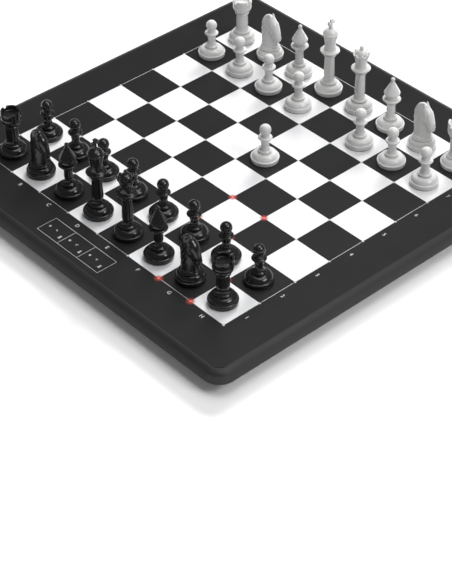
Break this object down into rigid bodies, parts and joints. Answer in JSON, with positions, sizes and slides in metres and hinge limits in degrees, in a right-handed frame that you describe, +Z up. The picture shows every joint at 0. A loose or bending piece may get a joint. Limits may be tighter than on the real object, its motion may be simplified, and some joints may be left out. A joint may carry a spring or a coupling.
{
  "type": "electronic chess computer",
  "caption": "Flat square chess computer with a sensing board, a light at each square's corner, touch fields on the rim and loose turned chessmen.",
  "frame": {"origin": "on the table under the middle of the board", "axes": "+X from file A to file H, +Y from rank 1 to rank 8, +Z up"},
  "size_m": [0.3902, 0.394, 0.096],
  "materials": {
    "casing": "fine satin grain",
    "printed_plate": "satin, printed squares",
    "screw_steel": "zinc plated",
    "foot_rubber": "matt",
    "light_pipe": "clear, looks light grey when off",
    "light_pipe_lit": "lit red",
    "circuit_board": "green solder mask",
    "conductive_foam": "matt",
    "led_body": "clear over white",
    "chip_black": "moulded",
    "shield_can": "tinned",
    "ribbon_grey": "satin",
    "battery_wrap": "shrink film",
    "strap_aluminium": "mill finish",
    "lead_red": "satin",
    "sounder_brass": "plain",
    "socket_steel": "bright",
    "button_black": "satin",
    "black_men": "polished black",
    "white_men": "polished off-white"
  },
  "bodies": {
    "board": {"top_cover": "casing", "bottom_cover": "casing", "faceplate": "printed_plate", "housing_screws": "screw_steel", "board_screws": "screw_steel", "rubber_feet": "foot_rubber", "corner_windows": "light_pipe", "corner_windows_lit": "light_pipe_lit", "field_windows": "light_pipe", "sensor_board": "circuit_board", "touch_board": "circuit_board", "main_board": "circuit_board", "power_board": "circuit_board", "touch_pads": "conductive_foam", "corner_leds": "led_body", "field_leds": "led_body", "square_sensors": "chip_black", "processor_chip": "chip_black", "power_switch": "chip_black", "radio_module": "shield_can", "ribbon_cable": "ribbon_grey", "battery_pack": "battery_wrap", "battery_bracket": "strap_aluminium", "battery_lead": "lead_red", "sounder": "sounder_brass", "usb_socket": "socket_steel"},
    "power_button_cap": {"power_button": "button_black"},
    "black_rook_a_man": {"black_rook_a": "black_men"},
    "black_pawn_a_man": {"black_pawn_a": "black_men"},
    "black_knight_b_man": {"black_knight_b": "black_men"},
    "black_pawn_b_man": {"black_pawn_b": "black_men"},
    "black_bishop_c_man": {"black_bishop_c": "black_men"},
    "black_pawn_c_man": {"black_pawn_c": "black_men"},
    "black_king_man": {"black_king": "black_men"},
    "black_pawn_d_man": {"black_pawn_d": "black_men"},
    "black_queen_man": {"black_queen": "black_men"},
    "black_pawn_e_man": {"black_pawn_e": "black_men"},
    "black_bishop_f_man": {"black_bishop_f": "black_men"},
    "black_pawn_f_man": {"black_pawn_f": "black_men"},
    "black_knight_g_man": {"black_knight_g": "black_men"},
    "black_pawn_g_man": {"black_pawn_g": "black_men"},
    "black_rook_h_man": {"black_rook_h": "black_men"},
    "black_pawn_h_man": {"black_pawn_h": "black_men"},
    "white_rook_a_man": {"white_rook_a": "white_men"},
    "white_pawn_a_man": {"white_pawn_a": "white_men"},
    "white_knight_b_man": {"white_knight_b": "white_men"},
    "white_pawn_b_man": {"white_pawn_b": "white_men"},
    "white_bishop_c_man": {"white_bishop_c": "white_men"},
    "white_pawn_c_man": {"white_pawn_c": "white_men"},
    "white_king_man": {"white_king": "white_men"},
    "white_pawn_d_man": {"white_pawn_d": "white_men"},
    "white_queen_man": {"white_queen": "white_men"},
    "white_pawn_e_man": {"white_pawn_e": "white_men"},
    "white_bishop_f_man": {"white_bishop_f": "white_men"},
    "white_pawn_f_man": {"white_pawn_f": "white_men"},
    "white_knight_g_man": {"white_knight_g": "white_men"},
    "white_pawn_g_man": {"white_pawn_g": "white_men"},
    "white_rook_h_man": {"white_rook_h": "white_men"},
    "white_pawn_h_man": {"white_pawn_h": "white_men"}
  },
  "joints": [
    {"name": "power_button_press", "type": "slide", "parent": "board", "child": "power_button_cap", "axis": [0, -1, 0], "range_m": [0, 0.0006], "stiffness_N_per_m": 600, "springref_m": -0.0015},
    {"name": "black_rook_a_lift", "type": "slide", "parent": "board", "child": "black_rook_a_man", "axis": [0, 0, 1], "range_m": [0, 0.09]},
    {"name": "black_pawn_a_lift", "type": "slide", "parent": "board", "child": "black_pawn_a_man", "axis": [0, 0, 1], "range_m": [0, 0.09]},
    {"name": "black_knight_b_lift", "type": "slide", "parent": "board", "child": "black_knight_b_man", "axis": [0, 0, 1], "range_m": [0, 0.09]},
    {"name": "black_pawn_b_lift", "type": "slide", "parent": "board", "child": "black_pawn_b_man", "axis": [0, 0, 1], "range_m": [0, 0.09]},
    {"name": "black_bishop_c_lift", "type": "slide", "parent": "board", "child": "black_bishop_c_man", "axis": [0, 0, 1], "range_m": [0, 0.09]},
    {"name": "black_pawn_c_lift", "type": "slide", "parent": "board", "child": "black_pawn_c_man", "axis": [0, 0, 1], "range_m": [0, 0.09]},
    {"name": "black_king_lift", "type": "slide", "parent": "board", "child": "black_king_man", "axis": [0, 0, 1], "range_m": [0, 0.09]},
    {"name": "black_pawn_d_lift", "type": "slide", "parent": "board", "child": "black_pawn_d_man", "axis": [0, 0, 1], "range_m": [0, 0.09]},
    {"name": "black_queen_lift", "type": "slide", "parent": "board", "child": "black_queen_man", "axis": [0, 0, 1], "range_m": [0, 0.09]},
    {"name": "black_pawn_e_lift", "type": "slide", "parent": "board", "child": "black_pawn_e_man", "axis": [0, 0, 1], "range_m": [0, 0.09]},
    {"name": "black_bishop_f_lift", "type": "slide", "parent": "board", "child": "black_bishop_f_man", "axis": [0, 0, 1], "range_m": [0, 0.09]},
    {"name": "black_pawn_f_lift", "type": "slide", "parent": "board", "child": "black_pawn_f_man", "axis": [0, 0, 1], "range_m": [0, 0.09]},
    {"name": "black_knight_g_lift", "type": "slide", "parent": "board", "child": "black_knight_g_man", "axis": [0, 0, 1], "range_m": [0, 0.09]},
    {"name": "black_pawn_g_lift", "type": "slide", "parent": "board", "child": "black_pawn_g_man", "axis": [0, 0, 1], "range_m": [0, 0.09]},
    {"name": "black_rook_h_lift", "type": "slide", "parent": "board", "child": "black_rook_h_man", "axis": [0, 0, 1], "range_m": [0, 0.09]},
    {"name": "black_pawn_h_lift", "type": "slide", "parent": "board", "child": "black_pawn_h_man", "axis": [0, 0, 1], "range_m": [0, 0.09]},
    {"name": "white_rook_a_lift", "type": "slide", "parent": "board", "child": "white_rook_a_man", "axis": [0, 0, 1], "range_m": [0, 0.09]},
    {"name": "white_pawn_a_lift", "type": "slide", "parent": "board", "child": "white_pawn_a_man", "axis": [0, 0, 1], "range_m": [0, 0.09]},
    {"name": "white_knight_b_lift", "type": "slide", "parent": "board", "child": "white_knight_b_man", "axis": [0, 0, 1], "range_m": [0, 0.09]},
    {"name": "white_pawn_b_lift", "type": "slide", "parent": "board", "child": "white_pawn_b_man", "axis": [0, 0, 1], "range_m": [0, 0.09]},
    {"name": "white_bishop_c_lift", "type": "slide", "parent": "board", "child": "white_bishop_c_man", "axis": [0, 0, 1], "range_m": [0, 0.09]},
    {"name": "white_pawn_c_lift", "type": "slide", "parent": "board", "child": "white_pawn_c_man", "axis": [0, 0, 1], "range_m": [0, 0.09]},
    {"name": "white_king_lift", "type": "slide", "parent": "board", "child": "white_king_man", "axis": [0, 0, 1], "range_m": [0, 0.09]},
    {"name": "white_pawn_d_lift", "type": "slide", "parent": "board", "child": "white_pawn_d_man", "axis": [0, 0, 1], "range_m": [0, 0.09]},
    {"name": "white_queen_lift", "type": "slide", "parent": "board", "child": "white_queen_man", "axis": [0, 0, 1], "range_m": [0, 0.09]},
    {"name": "white_pawn_e_lift", "type": "slide", "parent": "board", "child": "white_pawn_e_man", "axis": [0, 0, 1], "range_m": [0, 0.09]},
    {"name": "white_bishop_f_lift", "type": "slide", "parent": "board", "child": "white_bishop_f_man", "axis": [0, 0, 1], "range_m": [0, 0.09]},
    {"name": "white_pawn_f_lift", "type": "slide", "parent": "board", "child": "white_pawn_f_man", "axis": [0, 0, 1], "range_m": [0, 0.09]},
    {"name": "white_knight_g_lift", "type": "slide", "parent": "board", "child": "white_knight_g_man", "axis": [0, 0, 1], "range_m": [0, 0.09]},
    {"name": "white_pawn_g_lift", "type": "slide", "parent": "board", "child": "white_pawn_g_man", "axis": [0, 0, 1], "range_m": [0, 0.09]},
    {"name": "white_rook_h_lift", "type": "slide", "parent": "board", "child": "white_rook_h_man", "axis": [0, 0, 1], "range_m": [0, 0.09]},
    {"name": "white_pawn_h_lift", "type": "slide", "parent": "board", "child": "white_pawn_h_man", "axis": [0, 0, 1], "range_m": [0, 0.09]}
  ]
}
